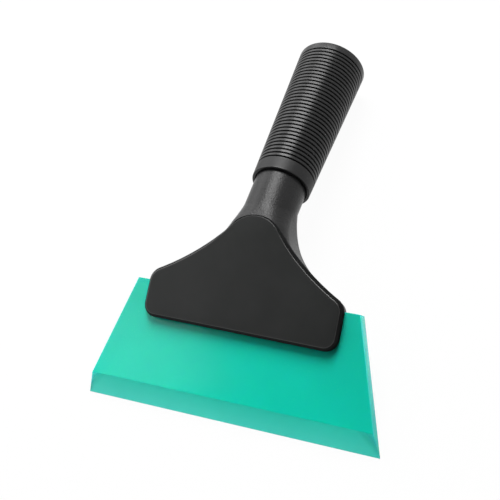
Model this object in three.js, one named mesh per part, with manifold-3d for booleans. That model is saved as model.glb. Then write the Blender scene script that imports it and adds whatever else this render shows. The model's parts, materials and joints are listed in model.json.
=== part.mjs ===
// A hand squeegee: a thick bevelled blade clamped between a front plate and the rear jaw of a one-piece
// handle moulding, with a ribbed sleeve over the handle's core. Millimetres, +Z up, lying on its back.
import * as THREE from 'three';
import { mergeVertices } from 'three/addons/utils/BufferGeometryUtils.js';
import Module from 'manifold-3d';

const wasm = await Module();
wasm.setup();

// Blade: a slab whose ends slant inwards to the top, with a bevel on its front face down to a thin tip
const BLADE_TIP_WIDTH = 150;
const BLADE_TOP_WIDTH = 113.6;
const BLADE_HEIGHT = 59.5;
const BLADE_THICKNESS = 7;
const BEVEL_HEIGHT = 10;
const TIP_LAND = 0.55;

// Front plate: the flat jaw in front of the blade
const JAW_DEPTH = 18.2;
const PLATE_WIDTH = 99;
const PLATE_HEIGHT = 55.1;
const PLATE_THICKNESS = 3.7;
const PLATE_EDGE = 0.9;
const PLATE_SIDE_HEIGHT = 16.3;
const LOWER_CORNER_RADIUS = 6.3;
const SHOULDER_RADIUS = 7.5;
const SHOULDER_SLOPE = THREE.MathUtils.degToRad(28);
const TOP_RADIUS = 15.3;
const TOP_HALF_ANGLE = THREE.MathUtils.degToRad(48.7);

// Handle moulding: rear jaw, flare, round neck, and the hollow core inside the sleeve
const REAR_JAW_THICKNESS = 4.2;
const REAR_EDGE_RADIUS = 4;
const FRONT_EDGE_RADIUS = 1.5;
const REAR_BLEND = 6;
const FRONT_BLEND = 0.5;
const NECK_RISE = 0.6;
const NECK_DIP = 0.9;
const KNEE_HEIGHT = 25.5;
const BEND = THREE.MathUtils.degToRad(26.8);
const NECK_LENGTH = 34;
const NECK_DIAMETER = 25.9;
const HEAD_INSET = 0.3;
const FLARE_LENGTH = 38.8;
const FLARE_SHOULDER_PULL = 12.1;
const FLARE_NECK_PULL = 21.9;
const FRONT_ROUNDING = 2.3;
const REAR_ROUNDING = 4;
const NECK_ENTRY = 2.5;
const CORE_STEP = 2;
const CORE_WALL = 3.5;
const CORE_FLOOR = 6;

// Sleeve: a tapered tube with fine grooves between two plain bands
const SLEEVE_LENGTH = 82.7;
const SLEEVE_LIP = 1.5;
const SLEEVE_FLARE = 6.2;
const COLLAR_BAND = 7.1;
const END_BAND = 4.3;
const GROOVE_COUNT = 33;
const GROOVE_WIDTH = 0.9;
const GROOVE_DEPTH = 0.8;
const COLLAR_EDGE = 0.5;
const END_EDGE_RADIUS = 0.9;

// End plug of the hollow core
const PLUG_FLANGE = 2.6;
const PLUG_SPIGOT = 9;
const PLUG_EDGE = 0.5;

// Clamp screws, from behind into threaded inserts in the plate's bosses
const SCREW_DIAMETER = 3;
const SCREW_HEAD_DIAMETER = 5.6;
const SCREW_HEAD_HEIGHT = 2;
const SCREW_HEAD_EDGE = 0.8;
const SCREW_ENGAGEMENT = 5.4;
const SCREW_SEAT_WEB = 2.2;
const RECESS_WIDTH = 0.8;
const RECESS_SPAN = 3.2;
const RECESS_DEPTH = 1.2;
const INSERT_WALL = 0.7;
const INSERT_LENGTH = 5.8;
const BOSS_WALL = 1.2;
const SIDE_SCREW_OFFSET = 28;
const SIDE_SCREW_HEIGHT = 6.5;
const TOP_SCREW_HEIGHT = 24.5;

// Clearance between fitted pieces, and the fineness of round forms
const GAP = 0.3;
const ROUND_SIDES = 28;
const SMALL_SIDES = 20;
const CORNER_STEPS = 5;
const CURVE_STEPS = 8;

// Everything below is worked out in the blade's frame: x across, y up from the tip, z out of the front face.
const plateBottom = BLADE_HEIGHT - JAW_DEPTH;
const plateTop = plateBottom + PLATE_HEIGHT;
const plateBack = GAP;
const plateFace = plateBack + PLATE_THICKNESS;
const slotTop = BLADE_HEIGHT + GAP;
const slotBack = -BLADE_THICKNESS - GAP;
const rearFace = slotBack - REAR_JAW_THICKNESS;
const shoulderEndX = PLATE_WIDTH / 2 - SHOULDER_RADIUS * (1 - Math.sin(SHOULDER_SLOPE));
const shoulderStartY = plateBottom + PLATE_SIDE_HEIGHT;
const shoulderEndY = shoulderStartY + SHOULDER_RADIUS * Math.cos(SHOULDER_SLOPE);
const flareStart = shoulderTangentPoint(-HEAD_INSET);
const flareTop = flareStart.y + FLARE_LENGTH;

const neckRadius = NECK_DIAMETER / 2;
const coreRadius = neckRadius - CORE_STEP;
const boreRadius = coreRadius - CORE_WALL;
const sleeveRimRadius = neckRadius + GAP + SLEEVE_LIP;
const sleeveEndRadius = sleeveRimRadius + SLEEVE_FLARE / 2;
const coreEnd = SLEEVE_LENGTH - PLUG_FLANGE - GAP;
const kneeY = BLADE_HEIGHT + KNEE_HEIGHT;
const kneeZ = -BLADE_THICKNESS / 2;
const rim = new THREE.Vector3(0, kneeY + NECK_LENGTH * Math.cos(BEND), kneeZ - NECK_LENGTH * Math.sin(BEND));

const insertRadius = SCREW_DIAMETER / 2 + GAP + INSERT_WALL;
const bossRadius = insertRadius + GAP + BOSS_WALL;
const bossEnd = -INSERT_LENGTH - GAP;
const screwSeat = bossEnd - GAP - SCREW_SEAT_WEB;
const screwLength = -screwSeat + bossEnd + GAP + SCREW_ENGAGEMENT;
const screwPlaces = {
  left: [-SIDE_SCREW_OFFSET, slotTop + SIDE_SCREW_HEIGHT],
  right: [SIDE_SCREW_OFFSET, slotTop + SIDE_SCREW_HEIGHT],
  top: [0, slotTop + TOP_SCREW_HEIGHT],
};

const finish = {
  blade: new THREE.MeshStandardMaterial({ color: 0x1fc4ac, roughness: 0.35 }),
  plate: new THREE.MeshStandardMaterial({ color: 0x2b2d2c, roughness: 0.62 }),
  moulding: new THREE.MeshStandardMaterial({ color: 0x303131, roughness: 0.45 }),
  sleeve: new THREE.MeshStandardMaterial({ color: 0x29292a, roughness: 0.55 }),
  steel: new THREE.MeshStandardMaterial({ color: 0xb4b6b8, roughness: 0.35, metalness: 1 }),
  brass: new THREE.MeshStandardMaterial({ color: 0xb08d4a, roughness: 0.4, metalness: 1 }),
};

// A closed three.js geometry as a solid that can be cut and joined
function solidOf(geometry, matrix = new THREE.Matrix4()) {
  const bare = geometry.clone().applyMatrix4(matrix);
  bare.deleteAttribute('normal');
  bare.deleteAttribute('uv');
  const merged = mergeVertices(bare, 1e-4);
  const vertProperties = merged.attributes.position.array;
  const triVerts = Uint32Array.from(merged.index.array);
  return new wasm.Manifold(new wasm.Mesh({ numProp: 3, vertProperties, triVerts }));
}

function geometryOf(solid) {
  const { vertProperties, triVerts } = solid.getMesh();
  const geometry = new THREE.BufferGeometry();
  geometry.setAttribute('position', new THREE.BufferAttribute(vertProperties, 3));
  geometry.setIndex(new THREE.BufferAttribute(triVerts, 1));
  return geometry;
}

function piece(name, geometry, material) {
  const mesh = new THREE.Mesh(geometry, material);
  mesh.name = name;
  return mesh;
}

// A turned shape about +z from [radius, z] pairs
function turned(profile, sides) {
  const points = profile.map(([radius, z]) => new THREE.Vector2(radius, z));
  return new THREE.LatheGeometry(points, sides).rotateX(Math.PI / 2);
}

function rod(radius, from, to, sides = SMALL_SIDES) {
  return turned([[0, from], [radius, from], [radius, to], [0, to]], sides);
}

function box(x, y, z) {
  const [width, depth, height] = [x, y, z].map(([low, high]) => high - low);
  const [cx, cy, cz] = [x, y, z].map(([low, high]) => (low + high) / 2);
  return new THREE.BoxGeometry(width, depth, height).translate(cx, cy, cz);
}

// Places a shape turned about +z so that its axis runs up the handle from the sleeve's rim
function alongHandle() {
  return new THREE.Matrix4().makeRotationX(-BEND - Math.PI / 2).setPosition(rim);
}

// The plate's outline, grown by a margin: side, shoulder arc, hollow shoulder curve and top arc, mirrored
function plateOutline(margin) {
  const halfWidth = PLATE_WIDTH / 2 + margin;
  const bottom = plateBottom - margin;
  const lower = LOWER_CORNER_RADIUS + margin;
  const shoulder = SHOULDER_RADIUS + margin;
  const top = TOP_RADIUS + margin;
  const topCentre = plateTop - TOP_RADIUS;
  const shoulderCentre = PLATE_WIDTH / 2 - SHOULDER_RADIUS;
  const start = shoulderTangentPoint(margin);
  const end = new THREE.Vector2(top * Math.sin(TOP_HALF_ANGLE), topCentre + top * Math.cos(TOP_HALF_ANGLE));
  const bend = tangentCrossing(start, end);
  const outline = new THREE.Shape();
  outline.absarc(halfWidth - lower, bottom + lower, lower, -Math.PI / 2, 0);
  outline.absarc(shoulderCentre, shoulderStartY, shoulder, 0, Math.PI / 2 - SHOULDER_SLOPE);
  outline.quadraticCurveTo(bend.x, bend.y, end.x, end.y);
  outline.absarc(0, topCentre, top, Math.PI / 2 - TOP_HALF_ANGLE, Math.PI / 2 + TOP_HALF_ANGLE);
  outline.quadraticCurveTo(-bend.x, bend.y, -start.x, start.y);
  outline.absarc(-shoulderCentre, shoulderStartY, shoulder, Math.PI / 2 + SHOULDER_SLOPE, Math.PI);
  outline.absarc(lower - halfWidth, bottom + lower, lower, Math.PI, Math.PI * 1.5);
  return outline;
}

function shoulderTangentPoint(margin) {
  return new THREE.Vector2(
    shoulderEndX + margin * Math.sin(SHOULDER_SLOPE),
    shoulderEndY + margin * Math.cos(SHOULDER_SLOPE),
  );
}

// Where the shoulder's slope from start meets the top arc's tangent through end
function tangentCrossing(start, end) {
  const along = new THREE.Vector2(-Math.cos(SHOULDER_SLOPE), Math.sin(SHOULDER_SLOPE));
  const down = new THREE.Vector2(Math.cos(TOP_HALF_ANGLE), -Math.sin(TOP_HALF_ANGLE));
  const reach = end.clone().sub(start).cross(down) / along.cross(down);
  return along.multiplyScalar(reach).add(start);
}

function bladeGeometry() {
  const tipHalf = BLADE_TIP_WIDTH / 2;
  const slant = (BLADE_TIP_WIDTH - BLADE_TOP_WIDTH) / 2;
  const face = new THREE.Shape([
    new THREE.Vector2(-tipHalf, 0),
    new THREE.Vector2(tipHalf, 0),
    new THREE.Vector2(tipHalf - slant, BLADE_HEIGHT),
    new THREE.Vector2(slant - tipHalf, BLADE_HEIGHT),
  ]);
  const slab = new THREE.ExtrudeGeometry(face, { depth: BLADE_THICKNESS, bevelEnabled: false });
  slab.translate(0, 0, -BLADE_THICKNESS);
  const drop = BLADE_THICKNESS - TIP_LAND;
  const wedge = new THREE.Shape([
    new THREE.Vector2(BEVEL_HEIGHT, 0),
    new THREE.Vector2(-BEVEL_HEIGHT, -2 * drop),
    new THREE.Vector2(-BEVEL_HEIGHT, BLADE_THICKNESS),
    new THREE.Vector2(BEVEL_HEIGHT, BLADE_THICKNESS),
  ]);
  const cut = new THREE.ExtrudeGeometry(wedge, { depth: 2 * BLADE_TIP_WIDTH, bevelEnabled: false });
  cut.translate(0, 0, -BLADE_TIP_WIDTH);
  const across = new THREE.Matrix4().makeBasis(
    new THREE.Vector3(0, 1, 0),
    new THREE.Vector3(0, 0, 1),
    new THREE.Vector3(1, 0, 0),
  );
  return geometryOf(solidOf(slab).subtract(solidOf(cut, across)));
}

// The plate with its rounded front edge and three bosses bored from behind for the inserts
function plateGeometry() {
  const rounded = {
    depth: PLATE_THICKNESS - PLATE_EDGE,
    curveSegments: CURVE_STEPS,
    bevelThickness: PLATE_EDGE,
    bevelSize: PLATE_EDGE,
    bevelOffset: -PLATE_EDGE,
    bevelSegments: 2,
  };
  const slab = new THREE.ExtrudeGeometry(plateOutline(0), rounded).translate(0, 0, plateBack);
  const keep = box([-PLATE_WIDTH, PLATE_WIDTH], [0, 2 * plateTop], [plateBack, 2 * plateFace]);
  let plate = solidOf(slab).intersect(solidOf(keep));
  for (const [x, y] of Object.values(screwPlaces)) {
    const place = new THREE.Matrix4().makeTranslation(x, y, 0);
    plate = plate.add(solidOf(rod(bossRadius, bossEnd, plateBack + PLATE_EDGE), place));
    plate = plate.subtract(solidOf(rod(insertRadius + GAP, 2 * bossEnd, 0), place));
  }
  return geometryOf(plate);
}

function insertGeometry() {
  const bore = SCREW_DIAMETER / 2 + GAP;
  const profile = [
    [bore, bossEnd],
    [insertRadius, bossEnd],
    [insertRadius, -GAP],
    [bore, -GAP],
    [bore, bossEnd],
  ];
  return turned(profile, SMALL_SIDES);
}

// A pan-head screw seen from its seat, head behind, with a cross recess
function screwGeometry() {
  const head = SCREW_HEAD_DIAMETER / 2;
  const shank = SCREW_DIAMETER / 2;
  const top = screwSeat - GAP - SCREW_HEAD_HEIGHT;
  const profile = [
    [0, top],
    [head - SCREW_HEAD_EDGE, top],
    [head, top + SCREW_HEAD_EDGE],
    [head, screwSeat - GAP],
    [shank, screwSeat - GAP],
    [shank, screwSeat - GAP + screwLength],
    [0, screwSeat - GAP + screwLength],
  ];
  const depth = [top - RECESS_DEPTH, top + RECESS_DEPTH];
  const wide = [-RECESS_SPAN / 2, RECESS_SPAN / 2];
  const narrow = [-RECESS_WIDTH / 2, RECESS_WIDTH / 2];
  const cross = solidOf(box(wide, narrow, depth)).add(solidOf(box(narrow, wide, depth)));
  return geometryOf(solidOf(turned(profile, SMALL_SIDES)).subtract(cross));
}

function smoothMin(a, b, width) {
  const share = THREE.MathUtils.clamp(0.5 + (b - a) / (2 * width), 0, 1);
  return THREE.MathUtils.lerp(b, a, share) - width * share * (1 - share);
}

// Depth of the handle's axis at a height in the blade's frame
function axisDepth(y) {
  return kneeZ - (y - kneeY) * Math.tan(BEND);
}

// The head's half-width against height: jaw side, shoulder, then the flare into the neck
function flankPoints(topY) {
  const half = PLATE_WIDTH / 2;
  const lower = LOWER_CORNER_RADIUS - HEAD_INSET;
  const shoulder = SHOULDER_RADIUS - HEAD_INSET;
  const flank = new THREE.Path();
  flank.absarc(half - LOWER_CORNER_RADIUS, plateBottom + LOWER_CORNER_RADIUS, lower, -Math.PI / 2, 0);
  flank.absarc(half - SHOULDER_RADIUS, shoulderStartY, shoulder, 0, Math.PI / 2 - SHOULDER_SLOPE);
  flank.bezierCurveTo(
    flareStart.x - FLARE_SHOULDER_PULL * Math.cos(SHOULDER_SLOPE),
    flareStart.y + FLARE_SHOULDER_PULL * Math.sin(SHOULDER_SLOPE),
    neckRadius,
    flareTop - FLARE_NECK_PULL,
    neckRadius,
    flareTop,
  );
  flank.lineTo(neckRadius, topY);
  return flank.getPoints(CURVE_STEPS);
}

// One level section of the head or neck: a box with rounded corners that turn into a full round up the neck
function sectionAt(halfWidth, y) {
  const reach = neckRadius / Math.cos(BEND);
  const rise = THREE.MathUtils.smoothstep(y, slotTop, kneeY);
  const dip = NECK_DIP * (1 - THREE.MathUtils.smoothstep(y, plateTop, plateTop + NECK_DIAMETER));
  const cap = THREE.MathUtils.lerp(0, plateFace + NECK_RISE, rise);
  const front = smoothMin(cap, axisDepth(y) + reach - dip, FRONT_BLEND);
  const back = smoothMin(rearFace, axisDepth(y) - reach, REAR_BLEND);
  const middle = (front + back) / 2;
  const up = THREE.MathUtils.clamp((y - slotTop) / (flareTop - slotTop), 0, 1);
  const frontCorner = [FRONT_EDGE_RADIUS, up ** FRONT_ROUNDING];
  const rearCorner = [REAR_EDGE_RADIUS, up ** REAR_ROUNDING];
  const corners = [
    [1, 1, ...frontCorner],
    [-1, 1, ...frontCorner],
    [-1, -1, ...rearCorner],
    [1, -1, ...rearCorner],
  ];
  const points = [];
  corners.forEach(([sideX, sideZ, edge, roundness], quarter) => {
    const rx = THREE.MathUtils.lerp(edge, halfWidth, roundness);
    const rz = THREE.MathUtils.lerp(edge, (front - back) / 2, roundness);
    for (let step = 0; step <= CORNER_STEPS; step++) {
      const angle = ((quarter + step / CORNER_STEPS) * Math.PI) / 2;
      const x = sideX * (halfWidth - rx) + rx * Math.cos(angle);
      const z = middle + sideZ * ((front - back) / 2 - rz) + rz * Math.sin(angle);
      points.push(new THREE.Vector3(x, y, z));
    }
  });
  return points;
}

// Joins rings of equal length into one closed body with flat ends
function lofted(rings) {
  const count = rings[0].length;
  const positions = rings.flat().flatMap((point) => point.toArray());
  const index = [];
  for (let ring = 0; ring + 1 < rings.length; ring++) {
    for (let side = 0; side < count; side++) {
      const a = ring * count + side;
      const b = ring * count + ((side + 1) % count);
      index.push(a, a + count, b, b, a + count, b + count);
    }
  }
  const last = (rings.length - 1) * count;
  for (let side = 1; side + 1 < count; side++) {
    index.push(0, side, side + 1);
    index.push(last, last + side + 1, last + side);
  }
  const geometry = new THREE.BufferGeometry();
  geometry.setAttribute('position', new THREE.Float32BufferAttribute(positions, 3));
  geometry.setIndex(index);
  return geometry;
}

// Head and neck as one loft, cut square to the handle just inside the sleeve, then the core, bore and pockets
function bodyGeometry() {
  const topY = rim.y + NECK_DIAMETER;
  const rings = flankPoints(topY).map((point) => sectionAt(point.x, point.y));
  const handle = alongHandle();
  const beyond = rod(2 * NECK_DIAMETER, NECK_ENTRY, SLEEVE_LENGTH, ROUND_SIDES);
  const core = rod(coreRadius, -NECK_ENTRY, coreEnd, ROUND_SIDES);
  const bore = rod(boreRadius, CORE_FLOOR, 2 * SLEEVE_LENGTH, ROUND_SIDES);
  let body = solidOf(lofted(rings)).subtract(solidOf(beyond, handle));
  body = body.add(solidOf(core, handle)).subtract(solidOf(bore, handle));
  body = body.subtract(solidOf(box([-PLATE_WIDTH, PLATE_WIDTH], [0, slotTop], [slotBack, 2 * plateFace])));
  const seat = new THREE.ExtrudeGeometry(plateOutline(GAP), {
    depth: PLATE_THICKNESS + NECK_DIAMETER,
    curveSegments: CURVE_STEPS,
    bevelEnabled: false,
  });
  body = body.subtract(solidOf(seat));
  const wellRadius = SCREW_HEAD_DIAMETER / 2 + GAP;
  for (const [x, y] of Object.values(screwPlaces)) {
    const place = new THREE.Matrix4().makeTranslation(x, y, 0);
    body = body.subtract(solidOf(rod(bossRadius + GAP, bossEnd - GAP, plateFace), place));
    body = body.subtract(solidOf(rod(SCREW_DIAMETER / 2 + GAP, 2 * screwSeat, 0), place));
    body = body.subtract(solidOf(rod(wellRadius, screwSeat - 2 * NECK_DIAMETER, screwSeat), place));
  }
  return geometryOf(body);
}

// The sleeve's outer radius at a distance from its rim
function sleeveRadius(distance) {
  return THREE.MathUtils.lerp(sleeveRimRadius, sleeveEndRadius, distance / SLEEVE_LENGTH);
}

function sleeveGeometry() {
  const bore = coreRadius + GAP;
  const mouth = neckRadius + GAP;
  const profile = [
    [mouth, 0],
    [sleeveRimRadius - COLLAR_EDGE, 0],
    [sleeveRimRadius, COLLAR_EDGE],
  ];
  const pitch = (SLEEVE_LENGTH - COLLAR_BAND - END_BAND) / (GROOVE_COUNT - 1);
  for (let groove = 0; groove < GROOVE_COUNT; groove++) {
    const middle = COLLAR_BAND + groove * pitch;
    profile.push([sleeveRadius(middle), middle - GROOVE_WIDTH / 2]);
    profile.push([sleeveRadius(middle) - GROOVE_DEPTH, middle]);
    profile.push([sleeveRadius(middle), middle + GROOVE_WIDTH / 2]);
  }
  for (let step = 0; step <= CORNER_STEPS; step++) {
    const angle = ((step / CORNER_STEPS) * Math.PI) / 2;
    const inset = END_EDGE_RADIUS * (1 - Math.cos(angle));
    profile.push([sleeveEndRadius - inset, SLEEVE_LENGTH - END_EDGE_RADIUS * (1 - Math.sin(angle))]);
  }
  profile.push([bore, SLEEVE_LENGTH], [bore, NECK_ENTRY + GAP], [mouth, NECK_ENTRY + GAP], [mouth, 0]);
  return turned(profile, ROUND_SIDES).applyMatrix4(alongHandle());
}

function plugGeometry() {
  const seat = SLEEVE_LENGTH - PLUG_FLANGE;
  const spigot = boreRadius - GAP;
  const profile = [
    [0, seat - PLUG_SPIGOT],
    [spigot - PLUG_EDGE, seat - PLUG_SPIGOT],
    [spigot, seat - PLUG_SPIGOT + PLUG_EDGE],
    [spigot, seat],
    [coreRadius, seat],
    [coreRadius, SLEEVE_LENGTH - PLUG_EDGE],
    [coreRadius - PLUG_EDGE, SLEEVE_LENGTH],
    [0, SLEEVE_LENGTH],
  ];
  return turned(profile, ROUND_SIDES).applyMatrix4(alongHandle());
}

// The tilt at which the blade's back tip edge and the sleeve's rounded end both touch the floor
function restTilt() {
  const endY = rim.y + (SLEEVE_LENGTH - END_EDGE_RADIUS) * Math.cos(BEND);
  const endZ = rim.z - (SLEEVE_LENGTH - END_EDGE_RADIUS) * Math.sin(BEND);
  const across = sleeveEndRadius - END_EDGE_RADIUS;
  const y = endY - across * Math.sin(BEND);
  const z = endZ - across * Math.cos(BEND) + BLADE_THICKNESS;
  return Math.atan2(-z, y) + Math.asin(END_EDGE_RADIUS / Math.hypot(y, z));
}

function assembly() {
  const tool = new THREE.Group();
  tool.add(piece('handle_body', bodyGeometry(), finish.moulding));
  tool.add(piece('front_plate', plateGeometry(), finish.plate));
  tool.add(piece('blade', bladeGeometry(), finish.blade));
  tool.add(piece('grip_sleeve', sleeveGeometry(), finish.sleeve));
  tool.add(piece('end_plug', plugGeometry(), finish.moulding));
  for (const [side, [x, y]] of Object.entries(screwPlaces)) {
    const screw = piece(`clamp_screw_${side}`, screwGeometry(), finish.steel);
    const insert = piece(`plate_insert_${side}`, insertGeometry(), finish.brass);
    screw.position.set(x, y, 0);
    insert.position.set(x, y, 0);
    tool.add(screw, insert);
  }
  return tool;
}

// Turned to its rest tilt, centred front to back, with the floor at z = 0
function laidDown(tool) {
  const row = new THREE.Group();
  row.add(tool);
  tool.rotation.x = restTilt();
  row.updateMatrixWorld(true);
  const extent = new THREE.Box3().setFromObject(row, true);
  tool.position.set(0, -(extent.min.y + extent.max.y) / 2, -extent.min.z);
  return row;
}

export default laidDown(assembly());
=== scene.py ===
# Dresses the squeegee's frame: fine meshes for its mouldings, blade, grip and screws, their materials,
# and a plain white studio with the photograph's camera. Meshes are shaped in millimetres in the blade's
# frame (x across, y up from the tip, z out of the front face) and then placed in the row's frame in metres.
import json
import math

import bmesh
import bpy
from mathutils import Matrix, Vector


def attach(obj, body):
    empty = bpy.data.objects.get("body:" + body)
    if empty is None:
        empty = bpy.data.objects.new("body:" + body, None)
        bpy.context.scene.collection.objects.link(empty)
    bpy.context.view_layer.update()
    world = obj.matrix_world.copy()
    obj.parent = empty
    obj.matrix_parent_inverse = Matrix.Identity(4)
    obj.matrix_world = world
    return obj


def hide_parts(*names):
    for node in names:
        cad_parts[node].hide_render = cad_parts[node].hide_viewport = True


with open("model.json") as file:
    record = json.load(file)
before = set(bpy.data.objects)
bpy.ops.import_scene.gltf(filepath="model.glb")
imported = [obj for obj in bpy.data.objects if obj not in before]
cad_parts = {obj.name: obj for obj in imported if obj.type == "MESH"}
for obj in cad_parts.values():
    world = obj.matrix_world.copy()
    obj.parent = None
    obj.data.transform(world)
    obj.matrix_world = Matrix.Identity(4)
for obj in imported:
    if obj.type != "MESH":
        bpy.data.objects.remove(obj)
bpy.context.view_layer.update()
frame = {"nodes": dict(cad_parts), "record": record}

MM = 0.001

# Clearance between pieces that fit each other
GAP = 0.3

# Blade: a slab with slanted ends and a bevel down to a thin tip
BLADE_TIP_WIDTH = 150
BLADE_TOP_WIDTH = 113.6
BLADE_HEIGHT = 59.5
BLADE_THICKNESS = 7
BEVEL_HEIGHT = 10
TIP_LAND = 0.55
BLADE_EDGE = 0.2
BLADE_EDGE_STEPS = 2
BLADE_EDGE_ANGLE = math.radians(20)

# Front plate, set a little to one side and turned as in the photograph
JAW_DEPTH = 18.2
PLATE_WIDTH = 99
PLATE_HEIGHT = 55.7
PLATE_THICKNESS = 3.7
PLATE_SIDE_HEIGHT = 17.05
PLATE_SET = 0.6
PLATE_TURN = math.radians(-0.75)
LOWER_CORNER_RADIUS = 6.3
SHOULDER_RADIUS = 7.5
SHOULDER_SLOPE = math.radians(28)
TOP_RADIUS = 15.3
TOP_HALF_ANGLE = math.radians(48.7)

# The plate's edges: in front a chamfer between two roundings, narrower round the top arc
PLATE_OUTER_ROUND = 0.8
PLATE_CHAMFER = 1.3
PLATE_CHAMFER_TILT = math.radians(45)
PLATE_INNER_ROUND = 0.7
PLATE_TOP_EDGE_SHARE = 0.5
PLATE_BACK_EDGE = 0.25
SEAT_GAP = 0.04

# How squarely the plate's faces look forwards where each edge finish takes over
ROUND_FACING = 0.995
CHAMFER_FACING = 0.78
WALL_FACING = 0.66

# Handle moulding: rear jaw, flare, bent neck and the hollow core inside the grip
REAR_JAW_THICKNESS = 4.2
REAR_EDGE_RADIUS = 4
FRONT_EDGE_RADIUS = 1.5
JAW_FOOT_RADIUS = 1.6
REAR_BLEND = 6
FRONT_BLEND = 0.5
NECK_RISE = 0.6
NECK_DIP = 2.1
KNEE_HEIGHT = 25.5
BEND = math.radians(26.8)
NECK_LENGTH = 34
NECK_DIAMETER = 25.9
HEAD_INSET = 1.5
FLARE_LENGTH = 38.8
FLARE_SHOULDER_PULL = 12.1
FLARE_NECK_PULL = 21.9
NECK_ENTRY = 2.5
CORE_STEP = 2
CORE_WALL = 3.5
CORE_FLOOR = 6

# Powers for how late up the flare its corners turn round, across the front, down the sides and behind
FRONT_ROUNDING = 2.3
SIDE_ROUNDING = 1.2
REAR_ROUNDING = 4

# Ribbed sleeve
SLEEVE_LENGTH = 82.7
SLEEVE_LIP = 1.5
SLEEVE_FLARE = 6.2
COLLAR_BAND = 7.1
END_BAND = 4.3
GROOVE_COUNT = 33
GROOVE_WIDTH = 0.75
GROOVE_WALL = 0.3
GROOVE_DEPTH = 0.8
COLLAR_EDGE = 0.4
MOUTH_CHAMFER = 0.2
END_EDGE_RADIUS = 0.5

# End plug
PLUG_FLANGE = 2.6
PLUG_SPIGOT = 9
PLUG_EDGE = 0.5
PLUG_DISH = 0.7
PLUG_RIM = 2.2

# Clamp screws, their wells and bosses
SCREW_DIAMETER = 3
SCREW_HEAD_DIAMETER = 5.6
SCREW_HEAD_HEIGHT = 2
SCREW_HEAD_EDGE = 0.8
SCREW_ENGAGEMENT = 5.4
SCREW_SEAT_WEB = 2.2
RECESS_WIDTH = 0.8
RECESS_SPAN = 3.2
RECESS_DEPTH = 1.2
INSERT_WALL = 0.7
INSERT_LENGTH = 5.8
BOSS_WALL = 1.2
SIDE_SCREW_OFFSET = 28
SIDE_SCREW_HEIGHT = 6.5
TOP_SCREW_HEIGHT = 24.5

# Fineness of the meshes
LATHE_SIDES = 160
SMALL_SIDES = 48
CORNER_STEPS = 18
CURVE_STEPS = 40
GROOVE_STEPS = 14
EDGE_STEPS = 6
PLUG_EDGE_STEPS = 5
SCREW_EDGE_STEPS = 8
MERGE_DISTANCE = 1e-5
SHARP_ANGLE = math.radians(30)

# How many times further than it needs a cutter reaches
THROUGH = 2

# Camera, in the blade's frame
CAMERA_PLACE = (179.1, 38.15, 398.9)
CAMERA_TARGET = (-1.1, 80.55, 0.1)
CAMERA_UP = (-0.1339, 0.9773, 0.1644)
CAMERA_LENS = 68
CAMERA_SENSOR = 36

# Height of the front face's mount above the blade's tip
FACE_MOUNT_HEIGHT = 62

plate_bottom = BLADE_HEIGHT - JAW_DEPTH
plate_top = plate_bottom + PLATE_HEIGHT
plate_back = GAP
plate_face = plate_back + PLATE_THICKNESS
slot_top = BLADE_HEIGHT + GAP
slot_back = -BLADE_THICKNESS - GAP
rear_face = slot_back - REAR_JAW_THICKNESS
shoulder_start_y = plate_bottom + PLATE_SIDE_HEIGHT
neck_radius = NECK_DIAMETER / 2
core_radius = neck_radius - CORE_STEP
bore_radius = core_radius - CORE_WALL
sleeve_rim_radius = neck_radius + GAP + SLEEVE_LIP
sleeve_end_radius = sleeve_rim_radius + SLEEVE_FLARE / 2
core_end = SLEEVE_LENGTH - PLUG_FLANGE - GAP
knee_y = BLADE_HEIGHT + KNEE_HEIGHT
knee_z = -BLADE_THICKNESS / 2
rim = Vector((0, knee_y + NECK_LENGTH * math.cos(BEND), knee_z - NECK_LENGTH * math.sin(BEND)))
insert_radius = SCREW_DIAMETER / 2 + GAP + INSERT_WALL
boss_radius = insert_radius + GAP + BOSS_WALL
boss_end = -INSERT_LENGTH - GAP
screw_seat = boss_end - GAP - SCREW_SEAT_WEB
screw_length = -screw_seat + boss_end + GAP + SCREW_ENGAGEMENT
screw_places = {
    "left": (-SIDE_SCREW_OFFSET, slot_top + SIDE_SCREW_HEIGHT),
    "right": (SIDE_SCREW_OFFSET, slot_top + SIDE_SCREW_HEIGHT),
    "top": (0, slot_top + TOP_SCREW_HEIGHT),
}


def blade_frame():
    """The blade's frame in the row: its rotation, and the tip's middle as its origin."""
    mount = next(entry for entry in frame["record"]["mounts"] if entry["name"] == "front_face")
    out = Vector(mount["axis"]).normalized()
    across = Vector((1, 0, 0))
    up = out.cross(across)
    rotation = Matrix((across, up, out)).transposed()
    origin = Vector(mount["pos_m"]) - rotation @ Vector((0, FACE_MOUNT_HEIGHT, plate_face)) * MM
    return rotation, origin


# place takes the blade's frame to the row's. along_handle stands a turned body on the sleeve's rim, with its
# +z up the handle.
turn, tip_origin = blade_frame()
place = Matrix.Translation(tip_origin) @ turn.to_4x4() @ Matrix.Scale(MM, 4)
along_handle = Matrix.Translation(rim) @ Matrix.Rotation(-BEND - math.pi / 2, 4, "X")


# Mesh building

def lerp(a, b, share):
    return a + (b - a) * share


def clamp(value):
    """The value, held between 0 and 1."""
    return max(0.0, min(1.0, value))


def smoothstep(value, low, high):
    """0 below low, 1 above high, and an S-shaped rise between them."""
    share = clamp((value - low) / (high - low))
    return share * share * (3 - 2 * share)


def smooth_min(a, b, width):
    """The lesser of two values, rounded where they come within a width of each other."""
    share = clamp(0.5 + (b - a) / (2 * width))
    return lerp(b, a, share) - width * share * (1 - share)


def arc(cx, cy, radius, start, end, steps):
    """Points of an arc between two angles in degrees, both ends included."""
    angles = (math.radians(lerp(start, end, step / steps)) for step in range(steps + 1))
    return [(cx + radius * math.cos(angle), cy + radius * math.sin(angle)) for angle in angles]


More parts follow.
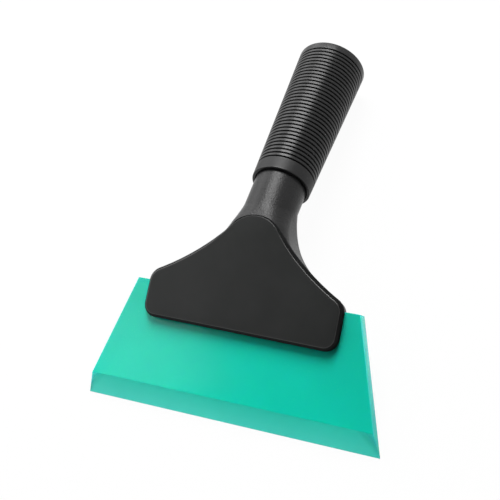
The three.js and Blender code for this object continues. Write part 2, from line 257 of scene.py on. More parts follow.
def bezier(points, steps):
    """Points of a Bezier curve of any degree, without its first point."""
    curve = []
    for step in range(1, steps + 1):
        share = step / steps
        level = [Vector(point) for point in points]
        while len(level) > 1:
            level = [a.lerp(b, share) for a, b in zip(level, level[1:])]
        curve.append(tuple(level[0]))
    return curve


def mesh_object(name, vertices, faces):
    mesh = bpy.data.meshes.new(name)
    mesh.from_pydata(vertices, [], faces)
    shape = bpy.data.objects.new(name, mesh)
    bpy.context.collection.objects.link(shape)
    return shape


def outward(shape):
    """Merges points that coincide and turns every face of a closed mesh outwards."""
    work = bmesh.new()
    work.from_mesh(shape.data)
    bmesh.ops.remove_doubles(work, verts=work.verts, dist=MERGE_DISTANCE)
    bmesh.ops.recalc_face_normals(work, faces=work.faces)
    work.to_mesh(shape.data)
    work.free()
    return shape


def walls(rings, count):
    """Faces between neighbouring rings of points, with a count of points in each ring."""
    faces = []
    for ring in range(rings - 1):
        for side in range(count):
            a = ring * count + side
            b = ring * count + (side + 1) % count
            faces.append((a, b, b + count, a + count))
    return faces


def lofted(name, rings):
    """Joins rings of equal length into one closed body with flat ends."""
    count = len(rings[0])
    vertices = [point for ring in rings for point in ring]
    ends = [tuple(range(count)), tuple(range(len(vertices) - count, len(vertices)))]
    return outward(mesh_object(name, vertices, ends + walls(len(rings), count)))


def revolved(name, profile, sides):
    """The surface that (radius, z) pairs sweep about +z."""
    vertices = []
    for radius, height in profile:
        for side in range(sides):
            angle = math.tau * side / sides
            vertices.append((radius * math.cos(angle), radius * math.sin(angle), height))
    return mesh_object(name, vertices, walls(len(profile), sides))


def turned(name, profile, sides, where=Matrix()):
    """A closed turned body, from a profile that starts and ends on the axis or in one point."""
    shape = outward(revolved(name, profile, sides))
    shape.data.transform(where)
    return shape


def rod(radius, low, high, where):
    return turned("rod", [(0, low), (radius, low), (radius, high), (0, high)], SMALL_SIDES, where)


def block(x, y, z):
    """A box from pairs of lowest and highest values."""
    corners = [(a, b, c) for a in x for b in y for c in z]
    faces = [(0, 1, 3, 2), (4, 6, 7, 5), (0, 4, 5, 1), (2, 3, 7, 6), (0, 2, 6, 4), (1, 5, 7, 3)]
    return outward(mesh_object("block", corners, faces))


def prism(outline, low, high):
    rings = [[(x, y, z) for x, y in outline] for z in (low, high)]
    return lofted("prism", rings)


def settle(shape):
    """Makes the shape's modifiers part of its mesh."""
    graph = bpy.context.evaluated_depsgraph_get()
    mesh = bpy.data.meshes.new_from_object(shape.evaluated_get(graph))
    shape.modifiers.clear()
    shape.data = mesh
    return shape


def combine(shape, tool, operation):
    modifier = shape.modifiers.new(operation, "BOOLEAN")
    modifier.operation = operation
    modifier.solver = "EXACT"
    modifier.object = tool
    settle(shape)
    bpy.data.objects.remove(tool)
    return shape


def cut(shape, tool):
    return combine(shape, tool, "DIFFERENCE")


def join(shape, tool):
    return combine(shape, tool, "UNION")


def soften(shape, width, segments, angle):
    """Rounds the edges that are sharper than an angle."""
    modifier = shape.modifiers.new("soften", "BEVEL")
    modifier.width = width
    modifier.segments = segments
    modifier.limit_method = "ANGLE"
    modifier.angle_limit = angle
    return settle(shape)


def finished(shape, name, body, finish, node, edges=()):
    """Places a shape in the frame and gives it its name, finish and body.

    Edges are (facing, finish) pairs, for faces that look forwards or back less squarely than that.
    """
    shape.name = name
    shape.data.name = name
    shape.data.transform(place)
    shape.data.shade_smooth()
    shape.data.set_sharp_from_angle(angle=SHARP_ANGLE)
    shape.data.materials.clear()
    shape.data.materials.append(finish)
    for limit, edge in edges:
        shape.data.materials.append(edge)
    for face in shape.data.polygons:
        facing = abs(face.normal.dot(turn.col[2]))
        face.material_index = sum(facing < limit for limit, edge in edges)
    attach(shape, body)
    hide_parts(node)
    return shape


# Shapes

def blade_shape():
    profile = [
        (0, -BLADE_THICKNESS),
        (0, TIP_LAND - BLADE_THICKNESS),
        (BEVEL_HEIGHT, 0),
        (BLADE_HEIGHT, 0),
        (BLADE_HEIGHT, -BLADE_THICKNESS),
    ]
    slant = (BLADE_TIP_WIDTH - BLADE_TOP_WIDTH) / 2
    ends = []
    for side in (-1, 1):
        ends.append([(side * (BLADE_TIP_WIDTH / 2 - slant * y / BLADE_HEIGHT), y, z) for y, z in profile])
    return soften(lofted("blade", ends), BLADE_EDGE, BLADE_EDGE_STEPS, BLADE_EDGE_ANGLE)


def shoulder_tangent_point(margin):
    """Where the shoulder's rounding runs into its slope, on the outline grown by a margin."""
    lean = math.sin(SHOULDER_SLOPE)
    x = PLATE_WIDTH / 2 - SHOULDER_RADIUS * (1 - lean) + margin * lean
    y = shoulder_start_y + (SHOULDER_RADIUS + margin) * math.cos(SHOULDER_SLOPE)
    return Vector((x, y))


def tangent_crossing(start, end):
    """Where the shoulder's slope from start meets the top arc's tangent through end."""
    along = Vector((-math.cos(SHOULDER_SLOPE), math.sin(SHOULDER_SLOPE)))
    down = Vector((math.cos(TOP_HALF_ANGLE), -math.sin(TOP_HALF_ANGLE)))
    reach = (end - start).cross(down) / along.cross(down)
    return start + along * reach


def plate_outline(margin):
    """The plate's outline grown by a margin: lower corner, shoulder, hollow curve and top arc, mirrored."""
    lower = LOWER_CORNER_RADIUS + margin
    side = PLATE_WIDTH / 2 - LOWER_CORNER_RADIUS
    shoulder = PLATE_WIDTH / 2 - SHOULDER_RADIUS
    top = TOP_RADIUS + margin
    top_centre = plate_top - TOP_RADIUS
    start = shoulder_tangent_point(margin)
    end = Vector((top * math.sin(TOP_HALF_ANGLE), top_centre + top * math.cos(TOP_HALF_ANGLE)))
    half = arc(side, plate_bottom + LOWER_CORNER_RADIUS, lower, -90, 0, CORNER_STEPS)
    slope = 90 - math.degrees(SHOULDER_SLOPE)
    half += arc(shoulder, shoulder_start_y, SHOULDER_RADIUS + margin, 0, slope, CORNER_STEPS)
    half += bezier((start, tangent_crossing(start, end), end), CURVE_STEPS)
    arc_start = 90 - math.degrees(TOP_HALF_ANGLE)
    half += arc(0, top_centre, top, arc_start, 90, CURVE_STEPS)[1:]
    whole = half + [(-x, y) for x, y in reversed(half[:-1])]
    middle = Vector((0, plate_bottom + PLATE_HEIGHT / 2))
    lean = Matrix.Rotation(PLATE_TURN, 2)
    aside = Vector((PLATE_SET, 0))
    return [tuple(lean @ (Vector(point) - middle) + middle + aside) for point in whole]


def edge_angles(start, end):
    return [lerp(start, end, step / EDGE_STEPS) for step in range(EDGE_STEPS + 1)]


def plate_edge():
    """The front edge as (inset, z) pairs: outer rounding at the side wall, chamfer, inner rounding."""
    tilt = PLATE_CHAMFER_TILT
    outer = []
    for angle in edge_angles(math.pi / 2, tilt):
        outer.append((PLATE_OUTER_ROUND * (1 - math.sin(angle)), PLATE_OUTER_ROUND * math.cos(angle)))
    chamfer_inset = outer[-1][0] + PLATE_CHAMFER * math.cos(tilt)
    chamfer_rise = outer[-1][1] + PLATE_CHAMFER * math.sin(tilt)
    inner = []
    for angle in edge_angles(tilt, 0):
        inset = chamfer_inset + PLATE_INNER_ROUND * (math.sin(tilt) - math.sin(angle))
        rise = chamfer_rise + PLATE_INNER_ROUND * (math.cos(angle) - math.cos(tilt))
        inner.append((inset, rise))
    top = inner[-1][1]
    return [(inset, plate_face + rise - top) for inset, rise in outer + inner]


def plate_ring(inset, z):
    """The outline drawn in by an inset, which narrows round the top arc where the neck meets the plate."""
    slim_until = TOP_RADIUS / 2
    wide_from = 1.5 * TOP_RADIUS
    ring = []
    for wide, slim in zip(plate_outline(-inset), plate_outline(-inset * PLATE_TOP_EDGE_SHARE)):
        x, y = Vector(slim).lerp(Vector(wide), smoothstep(abs(wide[0]), slim_until, wide_from))
        ring.append((x, y, z))
    return ring


def plate_shape():
    levels = [(PLATE_BACK_EDGE, plate_back), (0, plate_back + PLATE_BACK_EDGE)] + plate_edge()
    plate = lofted("plate", [plate_ring(inset, z) for inset, z in levels])
    for x, y in screw_places.values():
        where = Matrix.Translation((x, y, 0))
        join(plate, rod(boss_radius, boss_end, plate_back + PLATE_BACK_EDGE, where))
        cut(plate, rod(insert_radius + GAP, THROUGH * boss_end, 0, where))
    return plate


def axis_depth(y):
    """Depth of the handle's axis at a height."""
    return knee_z - (y - knee_y) * math.tan(BEND)


def flank_points(top_y):
    """The head's half-width against height: jaw side, shoulder, then the flare into the neck."""
    corner = LOWER_CORNER_RADIUS - HEAD_INSET
    side = PLATE_WIDTH / 2 - LOWER_CORNER_RADIUS
    shoulder = PLATE_WIDTH / 2 - SHOULDER_RADIUS
    start = shoulder_tangent_point(-HEAD_INSET)
    flare_top = start.y + FLARE_LENGTH
    points = arc(side, plate_bottom + LOWER_CORNER_RADIUS, corner, -90, 0, CORNER_STEPS)
    slope = 90 - math.degrees(SHOULDER_SLOPE)
    points += arc(shoulder, shoulder_start_y, SHOULDER_RADIUS - HEAD_INSET, 0, slope, CORNER_STEPS)
    away = Vector((-math.cos(SHOULDER_SLOPE), math.sin(SHOULDER_SLOPE))) * FLARE_SHOULDER_PULL
    neck_pull = Vector((neck_radius, flare_top - FLARE_NECK_PULL))
    points += bezier((start, start + away, neck_pull, (neck_radius, flare_top)), 2 * CURVE_STEPS)
    for step in range(1, CURVE_STEPS + 1):
        points.append((neck_radius, lerp(flare_top, top_y, step / CURVE_STEPS)))
    return points, flare_top


def section_at(half_width, y, flare_top):
    """One level section of head or neck: a box whose rounded corners turn into a full round up the neck."""
    reach = neck_radius / math.cos(BEND)
    rise = smoothstep(y, slot_top, knee_y)
    dip = NECK_DIP * (1 - smoothstep(y, plate_top, plate_top + NECK_DIAMETER))
    cap = lerp(0, plate_face + NECK_RISE, rise)
    crown = smooth_min(cap, axis_depth(y) + reach, FRONT_BLEND)
    front = smooth_min(cap, axis_depth(y) + reach - dip, FRONT_BLEND)
    back = smooth_min(rear_face, axis_depth(y) - reach, REAR_BLEND)
    foot = clamp((y - plate_bottom - HEAD_INSET) / JAW_FOOT_RADIUS)
    back += JAW_FOOT_RADIUS * (1 - math.sqrt(1 - (1 - foot) ** 2))
    middle = (crown + back) / 2
    depths = {1: front - middle, -1: middle - back}
    up = clamp((y - slot_top) / (flare_top - slot_top))
    front_corner = (FRONT_EDGE_RADIUS, up ** FRONT_ROUNDING, up ** SIDE_ROUNDING)
    rear_corner = (REAR_EDGE_RADIUS, up ** REAR_ROUNDING, up ** REAR_ROUNDING)
    corners = [
        (1, 1, *front_corner),
        (-1, 1, *front_corner),
        (-1, -1, *rear_corner),
        (1, -1, *rear_corner),
    ]
    points = []
    for quarter, (side_x, side_z, edge, round_x, round_z) in enumerate(corners):
        rx = lerp(edge, half_width, round_x)
        depth = depths[side_z]
        rz = lerp(edge, depth, round_z)
        for step in range(CORNER_STEPS + 1):
            angle = (quarter + step / CORNER_STEPS) * math.pi / 2
            x = side_x * (half_width - rx) + rx * math.cos(angle)
            z = middle + side_z * (depth - rz) + rz * math.sin(angle)
            points.append((x, y, z))
    return points


def body_shape():
    """The handle moulding: lofted head and neck, turned core, and room for blade, plate and screws."""
    top_y = rim.y + NECK_DIAMETER
    flank, flare_top = flank_points(top_y)
    body = lofted("body", [section_at(x, y, flare_top) for x, y in flank])
    cut(body, rod(THROUGH * NECK_DIAMETER, NECK_ENTRY, SLEEVE_LENGTH, along_handle))
    join(body, rod(core_radius, -NECK_ENTRY, core_end, along_handle))
    cut(body, rod(bore_radius, CORE_FLOOR, THROUGH * SLEEVE_LENGTH, along_handle))
    cut(body, block((-PLATE_WIDTH, PLATE_WIDTH), (0, slot_top), (slot_back, THROUGH * plate_face)))
    cut(body, prism(plate_outline(SEAT_GAP), 0, PLATE_THICKNESS + NECK_DIAMETER))
    well_radius = SCREW_HEAD_DIAMETER / 2 + GAP
    for x, y in screw_places.values():
        where = Matrix.Translation((x, y, 0))
        cut(body, rod(boss_radius + GAP, boss_end - GAP, plate_face, where))
        cut(body, rod(SCREW_DIAMETER / 2 + GAP, THROUGH * screw_seat, 0, where))
        cut(body, rod(well_radius, screw_seat - THROUGH * NECK_DIAMETER, screw_seat, where))
    return body


def sleeve_radius(distance):
    return lerp(sleeve_rim_radius, sleeve_end_radius, distance / SLEEVE_LENGTH)


def groove_points(middle):
    """One groove of the sleeve's profile: a flat floor with S-shaped walls."""
    mouth = GROOVE_WIDTH + GROOVE_WALL
    floor = GROOVE_WIDTH - GROOVE_WALL
    points = []
    for step in range(GROOVE_STEPS):
        offset = (step / (GROOVE_STEPS - 1) - 0.5) * mouth
        depth = GROOVE_DEPTH * (1 - smoothstep(abs(offset), floor / 2, mouth / 2))
        points.append((sleeve_radius(middle + offset) - depth, middle + offset))
    return points


def sleeve_shape():
    """The grip: a plain collar, grooves between low ribs, and a plain band at the end."""
    mouth = neck_radius + GAP
    bore = core_radius + GAP
    step_up = NECK_ENTRY + GAP
    profile = [(mouth, MOUTH_CHAMFER), (mouth + MOUTH_CHAMFER, 0)]
    profile += arc(sleeve_rim_radius - COLLAR_EDGE, COLLAR_EDGE, COLLAR_EDGE, -90, 0, EDGE_STEPS)
    pitch = (SLEEVE_LENGTH - COLLAR_BAND - END_BAND) / (GROOVE_COUNT - 1)
    for groove in range(GROOVE_COUNT):
        profile += groove_points(COLLAR_BAND + groove * pitch)
    edge_radius = sleeve_end_radius - END_EDGE_RADIUS
    profile += arc(edge_radius, SLEEVE_LENGTH - END_EDGE_RADIUS, END_EDGE_RADIUS, 0, 90, EDGE_STEPS)
    profile += [(bore, SLEEVE_LENGTH), (bore, step_up), (mouth, step_up), (mouth, MOUTH_CHAMFER)]
    return turned("sleeve", profile, LATHE_SIDES, along_handle)


def plug_shape():
    """The end plug: a spigot in the core's bore and a flange with a shallow dish."""
    seat = SLEEVE_LENGTH - PLUG_FLANGE
    spigot = bore_radius - GAP
    dish = core_radius - PLUG_RIM
    profile = [
        (0, seat - PLUG_SPIGOT),
        (spigot - PLUG_EDGE, seat - PLUG_SPIGOT),
        (spigot, seat - PLUG_SPIGOT + PLUG_EDGE),
        (spigot, seat),
        (core_radius, seat),
    ]
    profile += arc(core_radius - PLUG_EDGE, SLEEVE_LENGTH - PLUG_EDGE, PLUG_EDGE, 0, 90, PLUG_EDGE_STEPS)
    profile += [
        (dish, SLEEVE_LENGTH),
        (dish - PLUG_DISH, SLEEVE_LENGTH - PLUG_DISH),
        (0, SLEEVE_LENGTH - PLUG_DISH),
    ]
    return turned("plug", profile, LATHE_SIDES, along_handle)


def screw_shape(x, y):
    """A pan-head screw with a cross recess, its head behind."""
    head = SCREW_HEAD_DIAMETER / 2
    shank = SCREW_DIAMETER / 2
    seat = screw_seat - GAP
    top = seat - SCREW_HEAD_HEIGHT
    end = seat + screw_length
    profile = [(0, top)]
    profile += arc(head - SCREW_HEAD_EDGE, top + SCREW_HEAD_EDGE, SCREW_HEAD_EDGE, -90, 0, SCREW_EDGE_STEPS)
    profile += [(head, seat), (shank, seat), (shank, end), (0, end)]
    screw = turned("screw", profile, SMALL_SIDES)
    depth = (top - RECESS_DEPTH, top + RECESS_DEPTH)
    wide = (-RECESS_SPAN / 2, RECESS_SPAN / 2)
    narrow = (-RECESS_WIDTH / 2, RECESS_WIDTH / 2)
    cut(screw, block(wide, narrow, depth))
    cut(screw, block(narrow, wide, depth))
    screw.data.transform(Matrix.Translation((x, y, 0)))
    return screw


# Materials

# Most of a noise texture's values lie in this range. The blacks stay darkest a little further up.
NOISE_LOW = 0.3
NOISE_HIGH = 0.7
BLACK_LOW = 0.35

# The grip's finish: where its grooves count as such, in millimetres, how deep in them the painted shade
# starts and is full, and how dull grooves and collar are
GROOVE_MARGIN = 1
GROOVE_FADE = 0.2
GROOVE_SHADE_START = 0.1
GROOVE_SHADE_FULL = 0.35
GROOVE_DULLNESS = 0.55
COLLAR_DULLNESS = 0.2

# The blade's bevel: how clear it is, how pale the painted light on it leaves it at the crease, and how its
# clear part leans with depth
BEVEL_CLEARNESS = 0.8
BEVEL_CLEAR_ROUGHNESS = 0.3
CREASE_PALENESS = 0.3
CREASE_LEAN = 0.5
END_LEAN = 1.15
END_FADE = 0.4


class Finish:
    """A material's node tree around one Principled shader, with textures in the blade's millimetres."""

    def __init__(self, name):
        self.material = bpy.data.materials.new(name)
        self.material.use_nodes = True
        self.nodes = self.material.node_tree.nodes
        self.links = self.material.node_tree.links
        self.shader = self.nodes["Principled BSDF"]
        coordinates = self.nodes.new("ShaderNodeTexCoord")
        mapping = self.nodes.new("ShaderNodeMapping")
        mapping.vector_type = "TEXTURE"
        mapping.inputs["Location"].default_value = tip_origin
        mapping.inputs["Rotation"].default_value = turn.to_euler()
        mapping.inputs["Scale"].default_value = (MM, MM, MM)
        self.links.new(coordinates.outputs["Object"], mapping.inputs["Vector"])
        self.space = mapping.outputs["Vector"]

    def set(self, **values):
        """Constant values on the shader's own sockets, named with underscores for spaces."""
        for name, value in values.items():
            self.shader.inputs[name.replace("_", " ")].default_value = value

    def wire(self, output, name):
        self.links.new(output, self.shader.inputs[name])

    def stretched(self, scale):
        """The blade's space, scaled along its three axes."""
        mapping = self.nodes.new("ShaderNodeMapping")
        mapping.inputs["Scale"].default_value = scale
        self.links.new(self.space, mapping.inputs["Vector"])
        return mapping.outputs["Vector"]

    def noise(self, scale, detail, space=None):
        texture = self.nodes.new("ShaderNodeTexNoise")
        texture.inputs["Scale"].default_value = scale
        texture.inputs["Detail"].default_value = detail
        self.links.new(space or self.space, texture.inputs["Vector"])
        return texture.outputs["Fac"]

    def position(self):
        """Distance across from the blade's middle, up from its tip and out of its front face."""
        split = self.nodes.new("ShaderNodeSeparateXYZ")
        self.links.new(self.space, split.inputs["Vector"])
        return split.outputs["X"], split.outputs["Y"], split.outputs["Z"]

    def vector_math(self, operation, vector):
        """A number from the blade's space and a constant vector."""
        node = self.nodes.new("ShaderNodeVectorMath")
        node.operation = operation
        node.inputs[1].default_value = vector
        self.links.new(self.space, node.inputs[0])
        return node.outputs["Value"]

    def along_grip(self):
        """Distance along the handle from the sleeve's rim."""
        axis = Vector((0, math.cos(BEND), -math.sin(BEND)))
        return self.math("SUBTRACT", self.vector_math("DOT_PRODUCT", axis), axis.dot(rim))

    def below_grip(self, along):
        """Depth under the sleeve's tapered outside."""
        away = self.vector_math("DISTANCE", rim)
        away_squared = self.math("MULTIPLY", away, away)
        along_squared = self.math("MULTIPLY", along, along)
        radius = self.math("SQRT", self.math("SUBTRACT", away_squared, along_squared))
        outside = self.math("MULTIPLY_ADD", along, SLEEVE_FLARE / 2 / SLEEVE_LENGTH, sleeve_rim_radius)
        return self.math("SUBTRACT", outside, radius)

    def math(self, operation, *values):
        node = self.nodes.new("ShaderNodeMath")
        node.operation = operation
        for socket, value in zip(node.inputs, values):
            if isinstance(value, (int, float)):
                socket.default_value = value
            else:
                self.links.new(value, socket)
        return node.outputs["Value"]

    def spread(self, value, low, high, to_low, to_high):
        """Maps a value's range onto another, held at its ends."""
        node = self.nodes.new("ShaderNodeMapRange")
        for name, number in zip(("From Min", "From Max", "To Min", "To Max"), (low, high, to_low, to_high)):
            node.inputs[name].default_value = number
        self.links.new(value, node.inputs["Value"])
        return node.outputs["Result"]

    def colours(self, noise, darkest, lightest, low=NOISE_LOW):
        """A colour that runs from darkest to lightest with a noise texture."""
        node = self.nodes.new("ShaderNodeValToRGB")
        stops = ((low, darkest), (NOISE_HIGH, lightest))
        for element, (position, colour) in zip(node.color_ramp.elements, stops):
            element.position = position
            element.color = (*colour, 1)
        self.links.new(noise, node.inputs["Fac"])
        return node.outputs["Color"]

    def roughness(self, noise, smoothest, roughest):
        """A roughness that follows a noise texture."""
        return self.spread(noise, NOISE_LOW, NOISE_HIGH, smoothest, roughest)

    def mix(self, first, second, factor):
        node = self.nodes.new("ShaderNodeMix")
        node.data_type = "RGBA"
        self.links.new(factor, node.inputs["Factor"])
        self.links.new(first, node.inputs["A"])
        self.links.new(second, node.inputs["B"])
        return node.outputs["Result"]

    def bump(self, value, strength, depth):
        """Bump from a height texture, its full depth in millimetres."""
        node = self.nodes.new("ShaderNodeBump")
        node.inputs["Strength"].default_value = strength
        node.inputs["Distance"].default_value = depth * MM
        self.links.new(value, node.inputs["Height"])
        self.wire(node.outputs["Normal"], "Normal")


def moulding_finish():
    """Satin black moulded plastic: even grain, and faint tool lines round the handle."""
    finish = Finish("satin_black_moulding")
    cloud = finish.noise(scale=0.07, detail=3)
    streaks = finish.noise(scale=1.2, detail=3, space=finish.stretched((0.12, 2, 0.12)))
    grain = finish.noise(scale=1.2, detail=3)
    black = finish.colours(cloud, (0.012, 0.012, 0.0123), (0.016, 0.016, 0.0163), BLACK_LOW)
    finish.wire(black, "Base Color")
    finish.wire(finish.roughness(streaks, 0.27, 0.36), "Roughness")
    finish.bump(grain, strength=1, depth=0.17)
    finish.set(Specular_IOR_Level=0.2)
    return finish.material


def plate_finish():
    """Matte black moulded plastic with a fine spark-eroded grain."""
    finish = Finish("matte_black_plate")
    cloud = finish.noise(scale=0.05, detail=3)
    grain = finish.noise(scale=4, detail=3)
    black = finish.colours(cloud, (0.008, 0.0088, 0.0085), (0.012, 0.0128, 0.0125), BLACK_LOW)
    finish.wire(black, "Base Color")
    finish.wire(finish.roughness(grain, 0.44, 0.52), "Roughness")
    finish.bump(grain, strength=0.35, depth=0.03)
    finish.set(Specular_IOR_Level=0.23)
    return finish.material


def wall_finish():
    """The plate's side wall and the rounding beside it: black and dull."""
    finish = Finish("dull_black_wall")
    cloud = finish.noise(scale=0.3, detail=3)
    black = finish.colours(cloud, (0.008, 0.0085, 0.0085), (0.012, 0.0125, 0.0125), BLACK_LOW)
    finish.wire(black, "Base Color")
    finish.wire(finish.roughness(cloud, 0.6, 0.75), "Roughness")
    finish.bump(finish.noise(scale=4, detail=3), strength=0.3, depth=0.03)
    finish.set(Specular_IOR_Level=0.02)
    return finish.material


def smooth_black(name, smoothest, roughest, specular):
    """Black plastic without the plate's grain, with a name, a range of roughness and a shine of its own."""
    finish = Finish(name)
    cloud = finish.noise(scale=0.3, detail=3)
    black = finish.colours(cloud, (0.005, 0.005, 0.005), (0.008, 0.008, 0.008), BLACK_LOW)
    finish.wire(black, "Base Color")
    finish.wire(finish.roughness(cloud, smoothest, roughest), "Roughness")
    finish.bump(finish.noise(scale=5, detail=2), strength=0.15, depth=0.01)
    finish.set(Specular_IOR_Level=specular)
    return finish.material


def edge_finish():
    """The rounding beside the plate's face, blacker and glossier than the face."""
    return smooth_black("smooth_black_edge", smoothest=0.34, roughest=0.42, specular=0.65)


def chamfer_finish():
    """The chamfer round the plate: smooth, with a low shine."""
    return smooth_black("smooth_black_chamfer", smoothest=0.16, roughest=0.22, specular=0.07)


def groove_shade_and_dullness_mask(finish, along):
    """Where the grooves get painted shade and dullness: 1 deep in the grip's grooves, 0 on its ribs, collar
    and end band.
    """
    first = COLLAR_BAND - GROOVE_MARGIN
    last = SLEEVE_LENGTH - END_BAND + GROOVE_MARGIN
    past_collar = finish.spread(along, first - GROOVE_FADE, first, 0, 1)
    short_of_end = finish.spread(along, last, last + GROOVE_FADE, 1, 0)
    ribbed = finish.math("MULTIPLY", past_collar, short_of_end)
    sunk = finish.spread(finish.below_grip(along), GROOVE_SHADE_START, GROOVE_SHADE_FULL, 0, 1)
    return finish.math("MULTIPLY", ribbed, sunk)


def grip_finish():
    """Black soft grip: satin ribs, a duller collar, and dull grooves darkened with painted shade."""
    finish = Finish("ribbed_grip_rubber")
    cloud = finish.noise(scale=0.12, detail=3)
    grain = finish.noise(scale=6, detail=2)
    along = finish.along_grip()
    groove = groove_shade_and_dullness_mask(finish, along)
    rib_black = finish.colours(cloud, (0.012, 0.012, 0.0123), (0.016, 0.016, 0.0165), BLACK_LOW)
    # Painted shade: the grooves' colour is darkened, standing in for the shade inside them.
    painted_groove_shade = finish.colours(cloud, (0.003, 0.003, 0.003), (0.004, 0.004, 0.004), BLACK_LOW)
    finish.wire(finish.mix(rib_black, painted_groove_shade, groove), "Base Color")
    below_ribs = finish.spread(along, COLLAR_BAND - GROOVE_MARGIN, COLLAR_BAND, COLLAR_DULLNESS, 0)
    above_edge = finish.spread(along, COLLAR_EDGE, 2 * COLLAR_EDGE, 0, COLLAR_DULLNESS)
    collar = finish.math("MINIMUM", below_ribs, above_edge)
    dull = finish.math("MULTIPLY_ADD", groove, GROOVE_DULLNESS, collar)
    finish.wire(finish.math("ADD", finish.roughness(grain, 0.27, 0.34), dull), "Roughness")
    finish.bump(grain, strength=0.25, depth=0.02)
    finish.set(Specular_IOR_Level=0.25)
    return finish.material


def blade_zones(finish, across, height, depth):
    """Shares for the painted light that makes the blade's slanted ends and its thin bevel pale, and for the
    clear part of that bevel.
    """
    half_tip = BLADE_TIP_WIDTH / 2
    slant = (BLADE_TIP_WIDTH - BLADE_TOP_WIDTH) / 2 / BLADE_HEIGHT
    reach = finish.math("MULTIPLY_ADD", height, slant, finish.math("ABSOLUTE", across))
    end = finish.spread(reach, half_tip - BLADE_EDGE, half_tip, 0, 1)
    shifted = finish.math("MULTIPLY_ADD", depth, END_LEAN, reach)
    fade_start = half_tip - END_LEAN * BLADE_THICKNESS
    inboard = finish.spread(shifted, fade_start, half_tip - END_FADE * BLADE_THICKNESS, 1, 0)
    outboard = finish.math("SUBTRACT", 1, inboard)
    bevel = finish.spread(height, BEVEL_HEIGHT - BLADE_EDGE, BEVEL_HEIGHT, 1, 0)
    tip = finish.math("MULTIPLY", finish.spread(height, 0, BEVEL_HEIGHT, 1, CREASE_PALENESS), bevel)
    thin = finish.math("MAXIMUM", tip, finish.math("MULTIPLY", bevel, outboard))
    under_crease = finish.math("MULTIPLY_ADD", depth, CREASE_LEAN, height)
    clear = finish.spread(under_crease, BEVEL_HEIGHT, BEVEL_HEIGHT + 2 * BLADE_EDGE, BEVEL_CLEARNESS, 0)
    clear = finish.math("MULTIPLY", clear, inboard)
    clear = finish.math("MULTIPLY", clear, finish.math("SUBTRACT", 1, end))
    return end, thin, clear


def blade_finish():
    """Cast turquoise polyurethane: satin and translucent, with painted light that makes its thin tip and its
    ends paler, and painted shade that darkens it towards the jaw.
    """
    finish = Finish("turquoise_polyurethane")
    cloud = finish.noise(scale=0.03, detail=2)
    fine = finish.noise(scale=1.5, detail=3)
    across, height, depth = finish.position()
    end, thin, clear = blade_zones(finish, across, height, depth)
    open_face = finish.colours(cloud, (0.004, 0.65, 0.485), (0.005, 0.7, 0.52))
    # Painted shade: the blade's colour is darker towards the jaw.
    painted_jaw_shade = finish.colours(cloud, (0.004, 0.44, 0.33), (0.005, 0.48, 0.355))
    # Painted light: the thin bevel is coloured pale and the slanted ends lighter and bluer, standing in for
    # light shining through them.
    pale = finish.colours(cloud, (0.045, 0.82, 0.69), (0.065, 0.86, 0.73))
    side = finish.colours(cloud, (0.02, 0.76, 0.66), (0.03, 0.8, 0.7))
    towards_jaw = finish.spread(height, BEVEL_HEIGHT, BLADE_HEIGHT - JAW_DEPTH / 2, 0, 1)
    bulk = finish.mix(open_face, painted_jaw_shade, towards_jaw)
    finish.wire(finish.mix(finish.mix(bulk, pale, thin), side, end), "Base Color")
    finish.wire(clear, "Transmission Weight")
    satin = finish.roughness(fine, 0.22, 0.28)
    finish.wire(finish.math("MULTIPLY_ADD", clear, BEVEL_CLEAR_ROUGHNESS, satin), "Roughness")
    finish.bump(fine, strength=0.1, depth=0.02)
    finish.set(Specular_IOR_Level=0.18, Subsurface_Weight=0.8, Subsurface_Scale=5 * MM)
    finish.set(Subsurface_Radius=(0.05, 0.25, 0.4))
    return finish.material


def steel_finish():
    """Zinc-plated screw steel."""
    finish = Finish("zinc_plated_steel")
    cloud = finish.noise(scale=1.5, detail=3)
    finish.wire(finish.colours(cloud, (0.36, 0.37, 0.38), (0.5, 0.51, 0.52)), "Base Color")
    finish.wire(finish.roughness(cloud, 0.28, 0.42), "Roughness")
    finish.bump(finish.noise(scale=8, detail=2), strength=0.2, depth=0.02)
    finish.set(Metallic=1.0)
    return finish.material


def brass_finish():
    """Plain turned brass of the inserts."""
    finish = Finish("turned_brass")
    cloud = finish.noise(scale=1.2, detail=3)
    turning = finish.noise(scale=6, detail=2, space=finish.stretched((0.2, 0.2, 3)))
    finish.wire(finish.colours(cloud, (0.36, 0.22, 0.06), (0.46, 0.29, 0.08)), "Base Color")
    finish.wire(finish.roughness(cloud, 0.3, 0.45), "Roughness")
    finish.bump(turning, strength=0.3, depth=0.03)
    finish.set(Metallic=1.0)
    return finish.material


# The dressed pieces

def dress():
    moulding = moulding_finish()
    finished(body_shape(), "handle_moulding", "handle", moulding, "handle_body")
    finished(plug_shape(), "handle_end_plug", "handle", moulding, "end_plug")
    finished(sleeve_shape(), "ribbed_sleeve", "handle", grip_finish(), "grip_sleeve")
    edges = (
        (ROUND_FACING, edge_finish()),
        (CHAMFER_FACING, chamfer_finish()),
        (WALL_FACING, wall_finish()),
    )
    matte = plate_finish()
    finished(plate_shape(), "front_jaw_plate", "front_jaw", matte, "front_plate", edges)
    finished(blade_shape(), "bevelled_blade", "blade", blade_finish(), "blade")
    steel = steel_finish()
    brass = brass_finish()
    for side, (x, y) in screw_places.items():
        node = f"clamp_screw_{side}"
        finished(screw_shape(x, y), f"pan_screw_{side}", f"screw_{side}", steel, node)
        for slot in frame["nodes"][f"plate_insert_{side}"].material_slots:
            slot.material = brass


# The studio, in metres in the row's frame

FLOOR_RADIUS = 1.2
WALL_RADIUS = 2.6
WALL_HEIGHT = 1.6
SWEEP_SIDES = 96
SWEEP_STEPS = 24
MATTE_WHITE = (0.8, 0.8, 0.8, 1)
PURE_WHITE = (1, 1, 1, 1)
WHITE_SHARE = 0.96
WORLD_LIGHT = 0.15
LAMP_TARGET = Vector((0.0, -0.003, 0.03))
LAMP_DISTANCE = 0.8


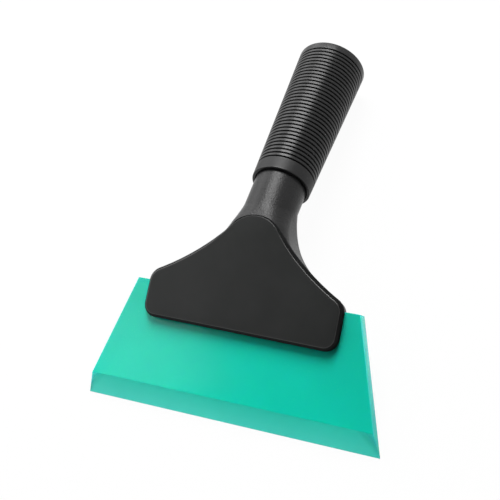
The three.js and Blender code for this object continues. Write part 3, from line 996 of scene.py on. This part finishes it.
def studio_white():
    """White to the camera and in reflections, with a share of plain matte white that keeps the shadow."""
    material = bpy.data.materials.new("studio_white")
    material.use_nodes = True
    nodes = material.node_tree.nodes
    links = material.node_tree.links
    nodes.clear()
    path = nodes.new("ShaderNodeLightPath")
    seen = path.outputs["Is Camera Ray"]
    for ray in ("Is Glossy Ray", "Is Transmission Ray"):
        either = nodes.new("ShaderNodeMath")
        either.operation = "MAXIMUM"
        links.new(seen, either.inputs[0])
        links.new(path.outputs[ray], either.inputs[1])
        seen = either.outputs["Value"]
    share = nodes.new("ShaderNodeMath")
    share.operation = "MULTIPLY"
    share.inputs[1].default_value = WHITE_SHARE
    links.new(seen, share.inputs[0])
    matte = nodes.new("ShaderNodeBsdfDiffuse")
    matte.inputs["Color"].default_value = MATTE_WHITE
    glow = nodes.new("ShaderNodeEmission")
    mix = nodes.new("ShaderNodeMixShader")
    output = nodes.new("ShaderNodeOutputMaterial")
    links.new(share.outputs["Value"], mix.inputs["Fac"])
    links.new(matte.outputs["BSDF"], mix.inputs[1])
    links.new(glow.outputs["Emission"], mix.inputs[2])
    links.new(mix.outputs["Shader"], output.inputs["Surface"])
    return material


def sweep():
    """A round floor that curves up into a wall on every side."""
    bend = WALL_RADIUS - FLOOR_RADIUS
    profile = [(0.0, 0.0)]
    profile += arc(FLOOR_RADIUS, bend, bend, -90, 0, SWEEP_STEPS)
    profile.append((WALL_RADIUS, bend + WALL_HEIGHT))
    floor = revolved("studio_sweep", profile, SWEEP_SIDES)
    floor.data.shade_smooth()
    floor.data.materials.append(studio_white())


def softbox(name, direction, width, height, watts):
    """A flat rectangular light that faces the squeegee's neck from a direction."""
    light = bpy.data.lights.new(name, "AREA")
    light.shape = "RECTANGLE"
    light.size = width
    light.size_y = height
    light.energy = watts
    lamp = bpy.data.objects.new(name, light)
    away = Vector(direction).normalized()
    lamp.location = LAMP_TARGET + away * LAMP_DISTANCE
    lamp.rotation_euler = away.to_track_quat("Z", "Y").to_euler()
    lamp.visible_camera = False
    bpy.context.collection.objects.link(lamp)


def world_light():
    world = bpy.data.worlds.new("studio_world")
    world.use_nodes = True
    background = world.node_tree.nodes["Background"]
    background.inputs["Color"].default_value = PURE_WHITE
    background.inputs["Strength"].default_value = WORLD_LIGHT
    bpy.context.scene.world = world


def camera():
    """The photograph's camera, from its place, target and up direction in the blade's frame."""
    data = bpy.data.cameras.new("photo_camera")
    data.sensor_width = CAMERA_SENSOR
    data.lens = CAMERA_LENS
    eye = bpy.data.objects.new("photo_camera", data)
    back = (Vector(CAMERA_PLACE) - Vector(CAMERA_TARGET)).normalized()
    right = Vector(CAMERA_UP).cross(back).normalized()
    axes = Matrix((right, back.cross(right), back)).transposed()
    eye.matrix_world = Matrix.Translation(place @ Vector(CAMERA_PLACE)) @ (turn @ axes).to_4x4()
    bpy.context.collection.objects.link(eye)
    bpy.context.scene.camera = eye


camera()
dress()
sweep()
world_light()
softbox("key_softbox", direction=(-0.06, 0.58, 0.81), width=0.46, height=0.42, watts=9)
softbox("left_panel", direction=(-0.77, 0.5, 0.45), width=0.9, height=0.5, watts=3.4)
softbox("front_left_fill", direction=(-0.68, -0.25, 0.69), width=0.4, height=0.4, watts=1.2)

bpy.context.scene.view_settings.view_transform = "Standard"
